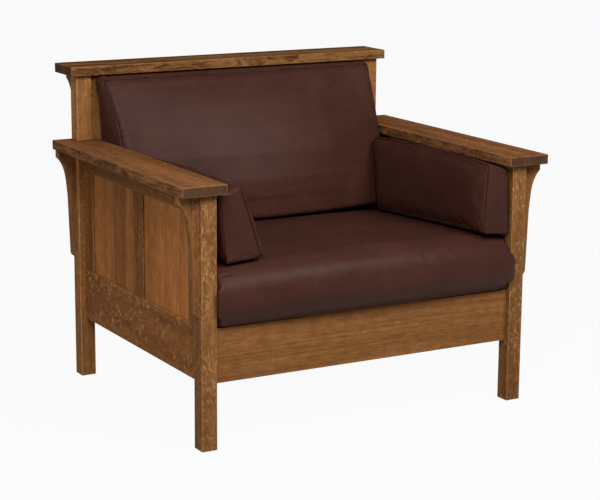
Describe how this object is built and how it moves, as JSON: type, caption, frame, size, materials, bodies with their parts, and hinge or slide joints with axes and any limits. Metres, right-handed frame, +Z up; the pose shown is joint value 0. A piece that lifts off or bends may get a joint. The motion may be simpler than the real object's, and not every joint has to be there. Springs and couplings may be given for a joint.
{
  "type": "mission armchair",
  "caption": "Wide mission style oak armchair with panelled sides and back, flat arms on corbels, a crest rail and loose leather seat, back and side cushions.",
  "frame": {"origin": "on the floor, under the middle of the whole chair's outline", "axes": "+Z up; the chair faces -Y; +X is on the right for a viewer who stands in front of the chair"},
  "size_m": [1.083, 0.9109, 0.881],
  "materials": {
    "oak": "quarter-sawn oak, warm brown stain, satin lacquer",
    "leather": "dark brown aniline leather, soft sheen",
    "foam": "cushion foam, matte",
    "screw_steel": "zinc plated wood screws"
  },
  "bodies": {
    "root": {"arm_left": "oak", "arm_right": "oak", "arm_screws": "screw_steel", "back_arm_corbel_left": "oak", "back_arm_corbel_right": "oak", "back_corner_block_left": "oak", "back_corner_block_right": "oak", "back_lower_rail": "oak", "back_mullion_left": "oak", "back_mullion_right": "oak", "back_panel_left": "oak", "back_panel_middle": "oak", "back_panel_right": "oak", "back_post_left": "oak", "back_post_right": "oak", "back_stile_left": "oak", "back_stile_right": "oak", "back_upper_rail": "oak", "cleat_screws": "screw_steel", "corner_block_screws": "screw_steel", "crest_corbel_left": "oak", "crest_corbel_right": "oak", "crest_rail": "oak", "crest_screws": "screw_steel", "front_apron": "oak", "front_arm_corbel_left": "oak", "front_arm_corbel_right": "oak", "front_corner_block_left": "oak", "front_corner_block_right": "oak", "front_leg_left": "oak", "front_leg_right": "oak", "seat_bearer": "oak", "seat_cleat_left": "oak", "seat_cleat_right": "oak", "seat_slats": "oak", "side_back_panel_left": "oak", "side_back_panel_right": "oak", "side_back_stile_left": "oak", "side_back_stile_right": "oak", "side_front_panel_left": "oak", "side_front_panel_right": "oak", "side_front_stile_left": "oak", "side_front_stile_right": "oak", "side_lower_rail_left": "oak", "side_lower_rail_right": "oak", "side_mullion_left": "oak", "side_mullion_right": "oak", "side_upper_rail_left": "oak", "side_upper_rail_right": "oak", "slat_screws": "screw_steel"},
    "seat_cushion": {"seat_cushion_cover": "leather", "seat_cushion_core": "foam"},
    "back_cushion": {"back_cushion_cover": "leather", "back_cushion_core": "foam"},
    "right_bolster": {"right_bolster_cover": "leather", "right_bolster_core": "foam"},
    "left_bolster": {"left_bolster_cover": "leather", "left_bolster_core": "foam"}
  },
  "joints": [
    {"name": "seat_cushion_slide", "type": "slide", "parent": "root", "child": "seat_cushion", "axis": [0, -0.9984, 0.0558], "range_m": [0, 0.35]},
    {"name": "back_cushion_slide", "type": "slide", "parent": "root", "child": "back_cushion", "axis": [0, -0.9984, 0.0558], "range_m": [0, 0.12]},
    {"name": "right_bolster_slide", "type": "slide", "parent": "back_cushion", "child": "right_bolster", "axis": [-0.8814, -0.3587, 0.3075], "range_m": [0, 0.15]},
    {"name": "left_bolster_slide", "type": "slide", "parent": "back_cushion", "child": "left_bolster", "axis": [0.8814, -0.3587, 0.3075], "range_m": [0, 0.15]}
  ]
}
